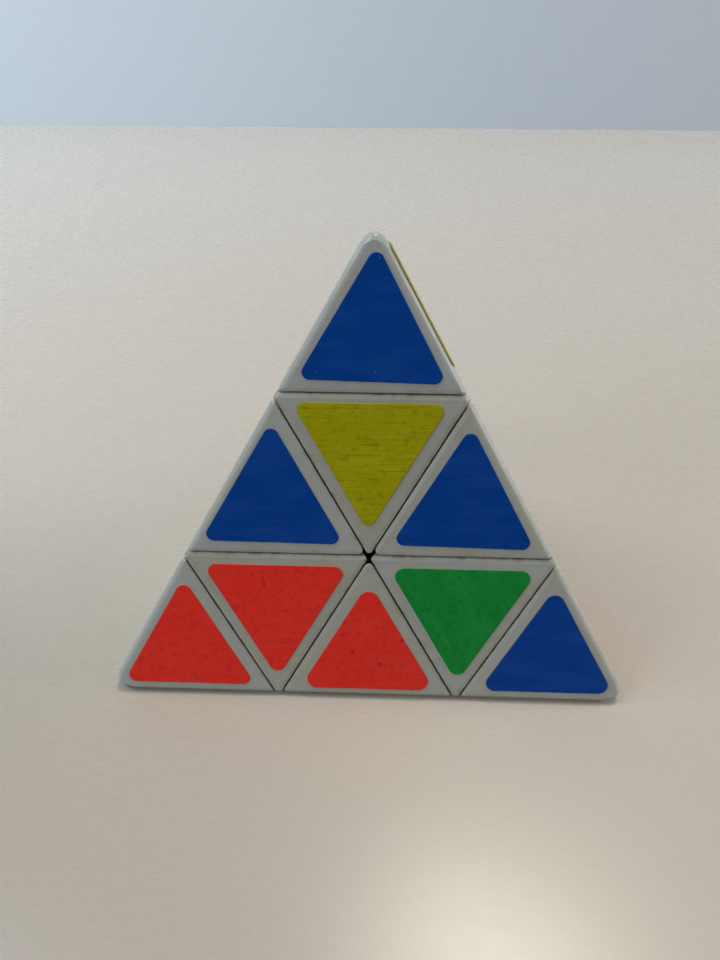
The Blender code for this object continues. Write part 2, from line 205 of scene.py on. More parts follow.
def combined(mesh, operation, *others):
    """The mesh after one exact boolean with each of the others in turn."""
    blank = bpy.data.objects.new("blank", mesh)
    tools = [bpy.data.objects.new("tool", other) for other in others]
    for obj in (blank, *tools):
        bpy.context.scene.collection.objects.link(obj)
    for tool in tools:
        modifier = blank.modifiers.new("shape", "BOOLEAN")
        modifier.operation = operation
        modifier.solver = "EXACT"
        modifier.object = tool
    graph = bpy.context.evaluated_depsgraph_get()
    result = bpy.data.meshes.new_from_object(blank.evaluated_get(graph))
    for obj in (blank, *tools):
        bpy.data.objects.remove(obj, do_unlink=True)
    return result


def directions(steps):
    """Directions of a sphere on a cube grid, whose corners are the face and seam normals."""
    across = [(AXES["top"] + AXES[name]).normalized() for name in ("left", "right", "back")]
    values = [index / steps for index in range(-steps, steps + 1)]
    grid = set()
    for point in itertools.product(values, repeat=3):
        if max(abs(value) for value in point) == 1.0:
            grid.add(point)
    # Even angles between neighbours on each side of the cube
    found = []
    for point in sorted(grid):
        x, y, z = (math.tan(value * math.pi / 4.0) for value in point)
        found.append((across[0] * x + across[1] * y + across[2] * z).normalized())
    return found


COARSE = directions(2)
FINE = directions(4)


def hull(points):
    bm = bmesh.new()
    seen = set()
    for point in points:
        key = (round(point.x, 4), round(point.y, 4), round(point.z, 4))
        if key not in seen:
            seen.add(key)
            bm.verts.new(point)
    result = bmesh.ops.convex_hull(bm, input=bm.verts)
    spare = set(result["geom_interior"]) | set(result["geom_unused"])
    loose = [item for item in spare if isinstance(item, bmesh.types.BMVert)]
    bmesh.ops.delete(bm, geom=loose, context="VERTS")
    bmesh.ops.dissolve_limit(bm, angle_limit=math.radians(0.4), verts=bm.verts, edges=bm.edges)
    return bm


def cut_convex(points, planes):
    for normal, distance in planes:
        bm = hull(points)
        geometry = [*bm.verts, *bm.edges, *bm.faces]
        bmesh.ops.bisect_plane(
            bm, geom=geometry, plane_co=normal * distance, plane_no=normal, clear_outer=True
        )
        points = [vertex.co.copy() for vertex in bm.verts]
        bm.free()
    return points


def bevel_planes(seams, width):
    """Shallow planes from each outer face towards each seam plane that meets it."""
    planes = []
    for (normal, distance), axis in itertools.product(seams, AXES.values()):
        face = -axis
        lean = face.dot(normal)
        if abs(lean) > 0.9:
            continue
        share = 1.0 - lean * lean
        along_face = face * ((INRADIUS - lean * distance) / share)
        along_seam = normal * ((distance - lean * INRADIUS) / share)
        line = along_face + along_seam
        start = line - (normal - face * lean).normalized() * width
        tilted = face.slerp(normal, BEVEL_SLOPE / math.acos(lean))
        planes.append((tilted, tilted.dot(start)))
    return planes


def rounded_piece(planes):
    """The whole tetrahedron cut by planes, its outer edges and its seam edges rounded."""
    inner_apex = 3.0 * (INRADIUS - OUTER_ROUND)
    points = []
    for axis, direction in itertools.product(AXES.values(), COARSE):
        points.append(axis * inner_apex + direction * (OUTER_ROUND - SEAM_ROUND))
    core = cut_convex(points, [(normal, distance - SEAM_ROUND) for normal, distance in planes])
    return hull([point + way * SEAM_ROUND for point, way in itertools.product(core, FINE)])


def block(planes):
    reach = 4.0 * APEX
    points = [Vector(corner) for corner in itertools.product((-reach, reach), repeat=3)]
    return hull(cut_convex(points, planes))


def ball(radius, segments=64):
    bm = bmesh.new()
    bmesh.ops.create_uvsphere(bm, u_segments=segments, v_segments=segments // 2, radius=radius)
    return bm


def lathe(profile, steps=48):
    """A solid turned about Z from (radius, height) points."""
    bm = bmesh.new()
    verts = [bm.verts.new((radius, 0.0, height)) for radius, height in profile]
    edges = [bm.edges.new(pair) for pair in itertools.pairwise(verts)]
    bmesh.ops.spin(
        bm,
        geom=[*verts, *edges],
        cent=(0.0, 0.0, 0.0),
        axis=(0.0, 0.0, 1.0),
        angle=math.tau,
        steps=steps,
        use_merge=True,
    )
    bmesh.ops.remove_doubles(bm, verts=bm.verts, dist=1e-3)
    return bm


def edge_bevel_planes(first, second):
    (n1, d1), (n2, d2) = first, second
    dot = n1.dot(n2)
    a, b = d1 - CORNER_ROUND, d2 - CORNER_ROUND
    centre = (n1 * (a - dot * b) + n2 * (b - dot * a)) / (1.0 - dot * dot)
    planes = []
    for share in (0.17, 0.33, 0.5, 0.67, 0.83):
        normal = n1.slerp(n2, share)
        planes.append((normal, normal.dot(centre) + CORNER_ROUND))
    return planes


def nose_planes(axis):
    """Planes that round the vertex of a tip, touching a ball inside it."""
    centre = axis * 3.0 * (INRADIUS - NOSE_ROUND)
    across = axis.orthogonal().normalized()
    planes = [(axis, axis.dot(centre) + NOSE_ROUND)]
    for slope, count in NOSE_RINGS:
        leaning = Matrix.Rotation(math.radians(slope), 3, across) @ axis
        for index in range(count):
            normal = Matrix.Rotation(math.tau * index / count, 3, axis) @ leaning
            planes.append((normal, normal.dot(centre) + NOSE_ROUND))
    return planes


def frame_of(first, second):
    x = (AXES[first] + AXES[second]).normalized()
    y = (AXES[first] - AXES[second]).normalized()
    return Matrix((x, y, x.cross(y))).transposed()


def turned_to(first, second):
    """The rotation that takes the corner pair (top, left) to another pair."""
    return (frame_of(first, second) @ frame_of("top", "left").transposed()).to_4x4()


def axial_mesh():
    top = AXES["top"]
    sides = [axis for name, axis in AXES.items() if name != "top"]
    planes = [(top, TIP_PLANE - SEAM), (-top, -(LAYER_PLANE + SEAM + 0.3))]
    planes += [(axis, LAYER_PLANE - SEAM) for axis in sides]
    planes += bevel_planes(planes, BEVEL["axial"])
    outside = mesh_from(rounded_piece(planes), "axial_outside")
    hollow_planes = [(top, TIP_PLANE - SEAM - WALL), (-top, -(LAYER_PLANE + WALL))]
    for axis in sides:
        hollow_planes.append((axis, LAYER_PLANE - SEAM - WALL))
        hollow_planes.append((-axis, INRADIUS - WALL))
    hollow = mesh_from(block(hollow_planes), "axial_hollow")
    shell_ball = mesh_from(ball(SHELL_BALL), "shell_ball")
    column = (
        (0.0, STEM_FOOT),
        (STEM_FOOT_RADIUS, STEM_FOOT),
        (COLUMN_RADIUS, COLUMN_BASE),
        (COLUMN_RADIUS, TIP_PLANE + 3.0),
        (0.0, TIP_PLANE + 3.0),
    )
    bore = (
        (0.0, LAYER_PLANE - 2.0),
        (SHANK_BORE, LAYER_PLANE - 2.0),
        (SHANK_BORE, POCKET_FLOOR),
        (POCKET_RADIUS, POCKET_FLOOR),
        (POCKET_RADIUS, GROOVE_BASE),
        (GROOVE_RADIUS, GROOVE_BASE + 1.0),
        (GROOVE_RADIUS, GROOVE_TOP - 0.5),
        (THROAT_RADIUS, GROOVE_TOP),
        (THROAT_RADIUS, TIP_PLANE - SEAM - 0.5),
        (THROAT_RADIUS + 1.0, TIP_PLANE - SEAM + 0.5),
        (0.0, TIP_PLANE - SEAM + 0.5),
    )
    cavity = combined(hollow, "UNION", shell_ball)
    cavity = combined(cavity, "DIFFERENCE", mesh_from(lathe(column), "column"))
    return combined(outside, "DIFFERENCE", cavity, mesh_from(lathe(bore), "bore"))


def tip_mesh():
    top = AXES["top"]
    sides = [axis for name, axis in AXES.items() if name != "top"]
    seams = [(-top, -(TIP_PLANE + SEAM))]
    planes = seams + bevel_planes(seams, BEVEL["tip"]) + nose_planes(top)
    outside = mesh_from(rounded_piece(planes), "tip_outside")
    hollow_planes = [(-axis, INRADIUS - WALL) for axis in sides]
    hollow_planes.append((-top, -(TIP_PLANE - 1.0)))
    hollow_planes.append((top, HOLLOW_CEILING))
    hollow = mesh_from(block(hollow_planes), "tip_hollow")
    peg = (
        (0.0, PEG_END),
        (PEG_RADIUS, PEG_END),
        (BEAD_RADIUS, BEAD_BASE),
        (BEAD_RADIUS, BEAD_TOP),
        (PEG_RADIUS, BEAD_TOP + 0.5),
        (PEG_RADIUS, PEG_ROOT),
        (0.0, PEG_ROOT),
    )
    bore = (
        (0.0, PEG_END - 2.0),
        (PEG_BORE, PEG_END - 2.0),
        (PEG_BORE, PEG_BORE_TOP),
        (0.0, PEG_BORE_TOP + 1.0),
    )
    body = combined(combined(outside, "DIFFERENCE", hollow), "UNION", mesh_from(lathe(peg), "peg"))
    return combined(body, "DIFFERENCE", mesh_from(lathe(bore), "peg_bore"))


def edge_mesh():
    top, left, right, back = (AXES[name] for name in CORNERS)
    seams = [(-top, -(LAYER_PLANE + SEAM)), (-left, -(LAYER_PLANE + SEAM))]
    planes = seams + edge_bevel_planes(*seams) + bevel_planes(seams, BEVEL["edge"])
    outside = mesh_from(rounded_piece(planes), "edge_outside")
    reach = 2.0 * SHELL_BALL
    neck = FOOT_PLANE - NECK_SEAM
    neck_way = block([(right, neck), (back, neck), (-top, reach), (-left, reach)])
    clearing = combined(
        mesh_from(ball(NECK_BALL), "neck_ball"), "DIFFERENCE", mesh_from(neck_way, "neck_way")
    )
    outside = combined(outside, "DIFFERENCE", clearing)
    wedge = block(
        [
            (-top, -(FOOT_PLANE + FOOT_SEAM)),
            (-left, -(FOOT_PLANE + FOOT_SEAM)),
            (right, FOOT_PLANE - FOOT_SEAM),
            (back, FOOT_PLANE - FOOT_SEAM),
        ]
    )
    foot = combined(mesh_from(ball(FOOT_BALL), "foot_ball"), "INTERSECT", mesh_from(wedge, "wedge"))
    foot = combined(foot, "DIFFERENCE", mesh_from(ball(FOOT_INNER_BALL), "inner_ball"))
    return combined(outside, "UNION", foot)


def face_frame(face):
    """(across, up, outward normal) of a face of the puzzle, up towards its first corner."""
    normal = -AXES[FACES[face]]
    first = next(name for name in CORNERS if name != FACES[face])
    up = (AXES[first] - normal * AXES[first].dot(normal)).normalized()
    return up.cross(normal), up, normal


def sticker_placement(face, kind, place):
    """The matrix that puts a sticker at the middle of its small triangle on a face."""
    opposite = FACES[face]
    ring = [AXES[name] * APEX for name in CORNERS if name != opposite]
    middle = sum(ring, Vector()) / 3.0
    names = place.split("_")
    own = [AXES[name] * APEX for name in names]
    rest = [AXES[name] * APEX for name in CORNERS if name != opposite and name not in names]
    if kind == "tip":
        corners = [own[0], *((2.0 * own[0] + other) / 3.0 for other in rest)]
    elif kind == "axial":
        corners = [middle, *((2.0 * own[0] + other) / 3.0 for other in rest)]
    else:
        upper = (2.0 * own[0] + own[1]) / 3.0
        lower = (own[0] + 2.0 * own[1]) / 3.0
        corners = [upper, lower, middle] if names[0] == "top" else [middle, upper, lower]
    centre = sum(corners, Vector()) / 3.0
    normal = -AXES[opposite]
    up = (corners[0] - centre).normalized()
    across, towards, degrees = SLIPS.get((face, kind, place), (0.0, 0.0, 0.0))
    side = up.cross(normal)
    centre = centre + side * across + up * towards
    turn = Matrix((side, up, normal)).transposed().to_4x4()
    spin = Matrix.Rotation(math.radians(-degrees), 4, "Z")
    return Matrix.Translation(centre) @ turn @ spin


ARC_STEPS = 14
SIDE_STEPS = 18
RINGS = (0.0, 0.04, 0.10, 0.22, 0.45, 0.8, 1.15)
INNER_RINGS = (0.75, 0.5, 0.25)
RIM_WIDTH = 0.45
LIFT_REACH = 3.2
UNDERSIDE_RIM = 3.0


def sticker_rings(side, corner_round):
    """Rings of a triangle with round corners, each a list of (x, y), from the rim inwards."""
    reach = side / math.sqrt(3.0) - 2.0 * corner_round
    centres = []
    for corner in range(3):
        angle = math.radians(90.0 + 120.0 * corner)
        centres.append(Vector((math.cos(angle), math.sin(angle))) * reach)
    rings = []
    for inset in RINGS:
        radius = corner_round - inset
        outline = []
        for corner, centre in enumerate(centres):
            arc = []
            for step in range(ARC_STEPS + 1):
                angle = math.radians(30.0 + 120.0 * corner + 120.0 * step / ARC_STEPS)
                arc.append(centre + Vector((math.cos(angle), math.sin(angle))) * radius)
            following = centres[(corner + 1) % 3]
            angle = math.radians(150.0 + 120.0 * corner)
            start = following + Vector((math.cos(angle), math.sin(angle))) * radius
            outline += arc
            for step in range(1, SIDE_STEPS):
                outline.append(arc[-1].lerp(start, step / SIDE_STEPS))
        rings.append(outline)
    for share in INNER_RINGS:
        rings.append([point * share for point in rings[len(RINGS) - 1]])
    return rings


def hug_edge(mesh, next_axis, outward):
    """Bend the part of a slipped sticker that overhangs an outer edge down onto its rounding."""
    flat_from = OUTER_ROUND * math.sqrt(2.0)
    radius = OUTER_ROUND + STICKER_THICK
    face_sine = math.sin(math.acos(1.0 / 3.0))
    for vertex in mesh.vertices:
        away = (INRADIUS + next_axis.dot(vertex.co)) / face_sine
        over = min(max(0.0, flat_from - away), 0.9 * radius)
        vertex.co -= outward * (radius - math.sqrt(radius * radius - over * over)) * 0.7


def sticker_mesh(side, corner_round, seed, lift):
    """Foil sticker with a soft rim, an uneven outline and surface, and one lifted corner."""
    rings = sticker_rings(side, corner_round)
    bm = bmesh.new()
    rim_layer = bm.verts.layers.float.new("rim")
    layers = []
    lifted = rings[0][ARC_STEPS // 2]
    for index, outline in enumerate(rings):
        inset = RINGS[index] if index < len(RINGS) else 3.0
        rise = min(1.0, 0.45 + 0.55 * math.sqrt(min(1.0, inset / 0.10)))
        row = []
        for point in outline:
            at = Vector((point.x * 0.9, point.y * 0.9, seed * 7.1))
            fine = Vector((point.x * 3.1, point.y * 3.1, seed * 3.7))
            edge_share = max(0.0, 1.0 - inset / RIM_WIDTH)
            shrink = (0.035 * noise.noise(fine) - 0.02) * edge_share
            place = point + point.normalized() * shrink if point.length > 0 else point
            wave = -0.012 * abs(noise.noise(at)) * min(1.0, inset + 0.3)
            near = max(0.0, 1.0 - (point - lifted).length / LIFT_REACH)
            height = STICKER_GAP + STICKER_THICK * rise + wave + lift * near * near
            vertex = bm.verts.new((place.x, place.y, height))
            vertex[rim_layer] = edge_share
            row.append(vertex)
        layers.append(row)
    count = len(layers[0])
    for outer, inner in itertools.pairwise(layers):
        for i in range(count):
            j = (i + 1) % count
            bm.faces.new((outer[i], outer[j], inner[j], inner[i]))
    middle = bm.verts.new((0.0, 0.0, STICKER_GAP + STICKER_THICK))
    for i in range(count):
        bm.faces.new((layers[-1][i], layers[-1][(i + 1) % count], middle))
    under = []
    for vertex in layers[0]:
        near = max(0.0, 1.0 - (Vector(vertex.co.xy) - lifted).length / LIFT_REACH)
        base = bm.verts.new((vertex.co.x, vertex.co.y, STICKER_GAP + lift * near * near))
        base[rim_layer] = UNDERSIDE_RIM
        under.append(base)
    for i in range(count):
        j = (i + 1) % count
        bm.faces.new((under[i], under[j], layers[0][j], layers[0][i]))
    bm.faces.new(list(reversed(under)))
    bmesh.ops.recalc_face_normals(bm, faces=bm.faces)
    mesh = bpy.data.meshes.new("sticker")
    bm.to_mesh(mesh)
    bm.free()
    return mesh


# ---------------------------------------------------------------- materials
class Tree:
    """Short names for the nodes of one material. Places are attributes in millimetres."""

    def __init__(self, name):
        self.material = bpy.data.materials.new(name)
        self.material.use_nodes = True
        self.nodes = self.material.node_tree.nodes
        self.links = self.material.node_tree.links
        self.shader = self.nodes["Principled BSDF"]

    def set(self, node, index, value):
        if isinstance(value, bpy.types.NodeSocket):
            self.links.new(value, node.inputs[index])
        else:
            node.inputs[index].default_value = value

    def attribute(self, name):
        node = self.nodes.new("ShaderNodeAttribute")
        node.attribute_name = name
        return node

    def place(self, name):
        return self.attribute(name).outputs["Vector"]

    def amount(self, name):
        return self.attribute(name).outputs["Fac"]

    def math(self, operation, a, b=0.0, c=0.0, clamp=False):
        node = self.nodes.new("ShaderNodeMath")
        node.operation = operation
        node.use_clamp = clamp
        for index, value in enumerate((a, b, c)):
            self.set(node, index, value)
        return node.outputs[0]

    def add(self, a, b, clamp=False):
        return self.math("ADD", a, b, clamp=clamp)

    def times(self, a, b, clamp=False):
        return self.math("MULTIPLY", a, b, clamp=clamp)

    def dot(self, place, axis):
        node = self.nodes.new("ShaderNodeVectorMath")
        node.operation = "DOT_PRODUCT"
        self.set(node, 0, place)
        self.set(node, 1, tuple(axis))
        return node.outputs["Value"]

    def stretched(self, place, scale, turn=(0.0, 0.0, 0.0), shift=(0.0, 0.0, 0.0)):
        node = self.nodes.new("ShaderNodeMapping")
        self.set(node, "Vector", place)
        self.set(node, "Location", shift)
        self.set(node, "Rotation", turn)
        self.set(node, "Scale", scale)
        return node.outputs[0]

    def smooth(self, value, low, high, start=0.0, end=1.0):
        node = self.nodes.new("ShaderNodeMapRange")
        node.interpolation_type = "SMOOTHSTEP"
        for index, item in enumerate((value, low, high, start, end)):
            self.set(node, index, item)
        return node.outputs[0]

    def noise(self, place, scale, detail=3.0, rough=0.5, distort=0.0):
        node = self.nodes.new("ShaderNodeTexNoise")
        self.set(node, "Vector", place)
        self.set(node, "Scale", scale)
        self.set(node, "Detail", detail)
        self.set(node, "Roughness", rough)
        self.set(node, "Distortion", distort)
        return node.outputs["Fac"]

    def dots(self, place, scale, size, share):
        """Round specks: one in some of the cells, of a size in cells."""
        node = self.nodes.new("ShaderNodeTexVoronoi")
        self.set(node, "Vector", place)
        self.set(node, "Scale", scale)
        near = self.smooth(node.outputs["Distance"], size * 0.5, size, 1.0, 0.0)
        split = self.nodes.new("ShaderNodeSeparateColor")
        self.links.new(node.outputs["Color"], split.inputs[0])
        chosen = self.math("LESS_THAN", split.outputs[0], share)
        return self.times(near, chosen)

    def mix(self, share, first, second):
        node = self.nodes.new("ShaderNodeMix")
        node.data_type = "RGBA"
        node.clamp_factor = True
        for socket, value in ((0, share), (6, first), (7, second)):
            if isinstance(value, tuple):
                value = (*value, 1.0)
            self.set(node, socket, value)
        return node.outputs[2]

    def bump(self, height, distance, before=None, strength=1.0):
        node = self.nodes.new("ShaderNodeBump")
        self.set(node, "Height", height)
        self.set(node, "Distance", distance)
        self.set(node, "Strength", strength)
        if before is not None:
            self.set(node, "Normal", before)
        return node.outputs[0]

    def scratches(self, place, angle, fineness, share):
        """Thin straight scratches: noise drawn out along one direction and cut high."""
        drawn = self.stretched(place, (0.10, fineness, fineness), (0.0, 0.0, angle))
        lines = self.noise(drawn, 1.0, 2.0, 0.4)
        return self.smooth(lines, 0.60 + share, 0.66 + share)


def shell_material(name, outer_axes, seam_planes):
    """Old white plastic: yellowed in patches, dirty by the seams, worn and scratched by hands, with
    painted shade on its inner faces.
    """
    tree = Tree(name)
    local, grain = tree.place("local"), tree.place("grain")
    outer = None
    for axis in outer_axes:
        here = tree.add(tree.dot(local, axis), INRADIUS)
        outer = here if outer is None else tree.math("MINIMUM", outer, here)
    seam = None
    for axis, sign, distance in seam_planes:
        here = tree.math("MULTIPLY_ADD", tree.dot(local, axis), sign, -sign * distance)
        seam = here if seam is None else tree.math("MINIMUM", seam, here)
    patches = tree.noise(grain, 0.11, 3.0, 0.5)
    clouds = tree.noise(grain, 0.45, 5.0, 0.6)
    flecks = tree.noise(grain, 3.2, 4.0, 0.65)
    # Dirt: in the rounding of the seams, in a band beside them, and in smudges
    rounding = tree.smooth(outer, 0.015, 0.55)
    band = tree.smooth(seam, 0.4, 2.1, 1.0, 0.0)
    broken = tree.smooth(clouds, 0.44, 0.66)
    dirt = tree.add(tree.times(rounding, 0.10), tree.times(band, 0.12))
    lines = tree.times(tree.smooth(seam, 0.10, 0.42, 1.0, 0.0), 0.26)
    dirt = tree.times(tree.add(dirt, lines), tree.add(tree.times(broken, 1.1), 0.25))
    smudge = tree.times(tree.smooth(tree.noise(grain, 0.24, 4.0, 0.6, 0.6), 0.60, 0.74), 0.10)
    dirt = tree.add(dirt, tree.times(smudge, flecks), clamp=True)
    age = tree.add(tree.amount("age"), tree.smooth(patches, 0.35, 0.65, -0.2, 0.2), clamp=True)
    colour = tree.mix(age, PLASTIC, PLASTIC_AGED)
    colour = tree.mix(tree.smooth(clouds, 0.35, 0.75, 0.0, 0.16), colour, (0.33, 0.33, 0.31))
    colour = tree.mix(tree.smooth(flecks, 0.50, 0.80, 0.0, 0.10), colour, (0.30, 0.28, 0.22))
    colour = tree.mix(dirt, colour, GRIME)
    specks = tree.dots(grain, 0.55, 0.07, 0.16)
    colour = tree.mix(tree.times(specks, 0.75), colour, (0.05, 0.045, 0.035))
    # Painted shade: faces deep under the outer skin, seen only in the gaps and hollows, are painted
    # darker grey
    inside = tree.smooth(outer, 1.6, 2.4)
    colour = tree.mix(tree.times(inside, 0.35), colour, (0.36, 0.35, 0.31))
    tree.set(tree.shader, "Base Color", colour)
    scuffs = tree.scratches(grain, 0.7, 6.0, 0.04)
    scuffs = tree.math("MAXIMUM", scuffs, tree.scratches(grain, 2.2, 8.0, 0.05))
    rough = tree.add(tree.times(clouds, 0.16), tree.times(flecks, 0.10))
    rough = tree.add(rough, 0.12)
    rough = tree.add(rough, tree.times(dirt, 0.30))
    rough = tree.add(rough, tree.times(scuffs, 0.12), clamp=True)
    tree.set(tree.shader, "Roughness", rough)
    skin = tree.add(tree.times(tree.noise(grain, 0.9, 2.0, 0.5), 0.6), tree.times(flecks, 0.10))
    skin = tree.add(skin, tree.times(scuffs, -0.05))
    skin = tree.add(skin, tree.times(tree.smooth(dirt, 0.1, 0.7), 0.05))
    tree.set(tree.shader, "Normal", tree.bump(skin, 0.00002))
    tree.shader.inputs["IOR"].default_value = 1.5
    return tree.material


def sticker_material(colour):
    """Printed foil: brushed by years of turning, with worn specks, a dark rim of dirt and painted
    shade, and an underside painted pale as painted light.
    """
    tree = Tree("sticker_" + colour)
    place, rim = tree.place("grain"), tree.amount("rim")
    base = STICKER_COLOUR[colour]
    brushed, mottled = STICKER_WEAR[colour]
    dark = tuple(value * 0.42 for value in base)
    pale = tuple(min(1.0, value * 1.18 + 0.012) for value in base)
    lines = tree.noise(tree.stretched(place, (0.13, 3.8, 1.0)), 1.0, 5.0, 0.66, 0.15)
    broad = tree.noise(tree.stretched(place, (0.10, 0.34, 1.0)), 1.0, 3.0, 0.55, 0.3)
    cells = tree.noise(place, 0.8, 6.0, 0.68)
    fine = tree.noise(tree.stretched(place, (1.4, 5.0, 1.0)), 1.0, 4.0, 0.7)
    streaks = tree.times(tree.smooth(lines, 0.47, 0.70), brushed)
    streaks = tree.times(streaks, tree.smooth(broad, 0.30, 0.62, 0.25, 1.0))
    blotches = tree.times(tree.smooth(cells, 0.48, 0.72), mottled)
    shade = tree.add(streaks, tree.times(blotches, 0.8))
    shade = tree.add(shade, tree.times(tree.smooth(fine, 0.55, 0.8), 0.35 * mottled), clamp=True)
    out = tree.mix(tree.smooth(broad, 0.40, 0.70, 0.0, 0.5), base, pale)
    out = tree.mix(shade, out, dark)
    smudges = tree.dots(place, 0.22, 0.11, 0.45)
    smudges = tree.times(smudges, tree.smooth(cells, 0.40, 0.60))
    out = tree.mix(tree.times(smudges, 0.6), out, tuple(value * 0.25 + 0.004 for value in base))
    elsewhere = tree.stretched(place, (1.0, 1.0, 1.0), shift=(31.0, 7.0, 0.0))
    chips = tree.dots(elsewhere, 0.42, 0.055, 0.30)
    out = tree.mix(tree.times(chips, 0.55), out, (0.36, 0.40, 0.42))
    hairs = tree.scratches(place, 0.0, 5.5, 0.075)
    out = tree.mix(tree.times(hairs, 0.10), out, (0.30, 0.34, 0.36))
    # Dark rim round each sticker: partly dirt, partly painted shade along its edge
    rim_dirt_and_shade = tuple(value * 0.35 + 0.01 for value in base)
    out = tree.mix(tree.smooth(rim, 0.55, 1.0, 0.0, 0.40), out, rim_dirt_and_shade)
    # Painted light: the sticker's shaded underside is painted pale so that it looks lit
    backing_painted_light = tuple(value * 0.45 + part for value, part in zip(base, (0.42, 0.40, 0.26)))
    out = tree.mix(tree.smooth(rim, 1.1, 2.0), out, backing_painted_light)
    tree.set(tree.shader, "Base Color", out)
    rough = tree.add(tree.times(cells, 0.20), tree.times(lines, 0.20))
    rough = tree.add(rough, 0.22)
    rough = tree.add(rough, tree.times(shade, 0.15), clamp=True)
    tree.set(tree.shader, "Roughness", rough)
    height = tree.add(tree.times(lines, 0.5), tree.times(cells, 0.3))
    height = tree.add(height, tree.times(tree.add(chips, hairs), -0.35))
    tree.set(tree.shader, "Normal", tree.bump(height, 0.000012))
    tree.shader.inputs["Specular IOR Level"].default_value = 0.10
    return tree.material


def core_material():
    """Grey-black nylon of the core, with a film of grease and dust."""
    tree = Tree("core_plastic")
    grain = tree.place("grain")
    clouds = tree.noise(grain, 0.5, 5.0, 0.6)
    fine = tree.noise(grain, 4.0, 4.0, 0.6)
    colour = tree.mix(tree.smooth(clouds, 0.4, 0.7), (0.045, 0.046, 0.050), (0.10, 0.097, 0.088))
    colour = tree.mix(tree.smooth(fine, 0.55, 0.8, 0.0, 0.4), colour, (0.15, 0.14, 0.12))
    tree.set(tree.shader, "Base Color", colour)
    tree.set(tree.shader, "Roughness", tree.add(tree.times(clouds, 0.4), 0.25))
    tree.set(tree.shader, "Normal", tree.bump(tree.add(clouds, tree.times(fine, 0.4)), 0.00003))
    return tree.material


def steel_material(name, along):
    """Zinc-plated steel, dulled, with turning marks across the axis."""
    tree = Tree(name)
    grain = tree.place("grain")
    marks = tree.noise(tree.stretched(grain, along), 1.0, 3.0, 0.6)
    clouds = tree.noise(grain, 0.9, 4.0, 0.6)
    colour = tree.mix(tree.smooth(clouds, 0.4, 0.7), (0.52, 0.52, 0.53), (0.38, 0.37, 0.35))
    spots = tree.smooth(tree.noise(grain, 2.0, 5.0, 0.7), 0.62, 0.74)
    colour = tree.mix(tree.times(spots, 0.6), colour, (0.17, 0.11, 0.06))
    tree.set(tree.shader, "Base Color", colour)
    tree.shader.inputs["Metallic"].default_value = 1.0
    rough = tree.add(tree.times(marks, 0.25), tree.times(spots, 0.25))
    tree.set(tree.shader, "Roughness", tree.add(rough, 0.20))
    tree.set(tree.shader, "Normal", tree.bump(tree.add(marks, tree.times(spots, 0.5)), 0.00002))
    return tree.material


def table_material():
    """Satin white laminate with a fine grain, a soft change of tone, painted light towards the back
    and a painted shadow at the front left.
    """
    tree = Tree("table_top")
    node = tree.nodes.new("ShaderNodeTexCoord")
    place = tree.stretched(node.outputs["Object"], (TO_MM, TO_MM, TO_MM))
    slow = tree.noise(place, 0.006, 2.0, 0.5)
    grain = tree.noise(tree.stretched(place, (0.35, 0.9, 1.0)), 1.0, 4.0, 0.6)
    pores = tree.noise(place, 1.3, 2.0, 0.5)
    colour = tree.mix(tree.smooth(slow, 0.35, 0.65), (0.550, 0.512, 0.458), (0.560, 0.525, 0.475))
    # Painted light: the table is painted lighter towards the back
    painted_light_far = tree.smooth(tree.dot(place, (0.0, 1.0, 0.0)), 60.0, 420.0)
    colour = tree.mix(painted_light_far, colour, (0.575, 0.550, 0.515))
    # Painted shadow: the table is painted darker towards the front left
    painted_shadow_front_left = tree.smooth(tree.dot(place, (-0.6, -0.8, 0.0)), 12.0, 85.0, 0.0, 0.20)
    colour = tree.mix(painted_shadow_front_left, colour, (0.10, 0.09, 0.08))
    colour = tree.mix(tree.smooth(grain, 0.4, 0.8, 0.0, 0.015), colour, (0.5, 0.46, 0.40))
    tree.set(tree.shader, "Base Color", colour)
    tree.set(tree.shader, "Roughness", tree.add(tree.times(grain, 0.03), 0.26))
    tree.set(tree.shader, "Normal", tree.bump(pores, 0.0000018))
    return tree.material


def wall_material():
    tree = Tree("wall_paint")
    node = tree.nodes.new("ShaderNodeTexCoord")
    place = tree.stretched(node.outputs["Object"], (TO_MM, TO_MM, TO_MM))
    rolled = tree.noise(place, 0.25, 4.0, 0.6)
    colour = tree.mix(rolled, (0.655, 0.755, 0.880), (0.665, 0.770, 0.895))
    shaded = tree.smooth(tree.dot(place, (1.0, 0.0, 0.0)), -250.0, 350.0, 0.0, 0.19)
    tree.set(tree.shader, "Base Color", tree.mix(shaded, colour, (0.12, 0.14, 0.17)))
    tree.shader.inputs["Roughness"].default_value = 0.8
    tree.set(tree.shader, "Normal", tree.bump(rolled, 0.0002))
    return tree.material


# ---------------------------------------------------------------- putting pieces together
def set_vectors(mesh, name, values):
    attribute = mesh.attributes.new(name, "FLOAT_VECTOR", "POINT")
    attribute.data.foreach_set("vector", np.asarray(values, np.float32).ravel())


def points_of(mesh):
    found = np.empty(len(mesh.vertices) * 3, np.float32)
    mesh.vertices.foreach_get("co", found)
    return found.reshape(-1, 3)


BODY_OF = {}
for joint_body, members in frame["record"]["behaviour"]["bodies"].items():
    for member in members:
        BODY_OF[member] = joint_body


def add_piece(name, mesh, material, node, smooth_angle=38.0):
    """One visible piece, standing for a CAD node and riding on that node's body."""
    mesh.name = name
    mesh.materials.clear()
    mesh.materials.append(material)
    mesh.shade_smooth()
    mesh.set_sharp_from_angle(angle=math.radians(smooth_angle))
    obj = bpy.data.objects.new(name, mesh)
    bpy.context.scene.collection.objects.link(obj)
    weighted = obj.modifiers.new("normals", "WEIGHTED_NORMAL")
    weighted.mode = "FACE_AREA"
    weighted.weight = 100
    weighted.keep_sharp = True
    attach(obj, BODY_OF[node])
    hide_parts(node)
    return obj


def seed_shift(index):
    return np.array([37.0 * index + 3.1, 53.0 * index - 7.7, 29.0 * index + 1.3])


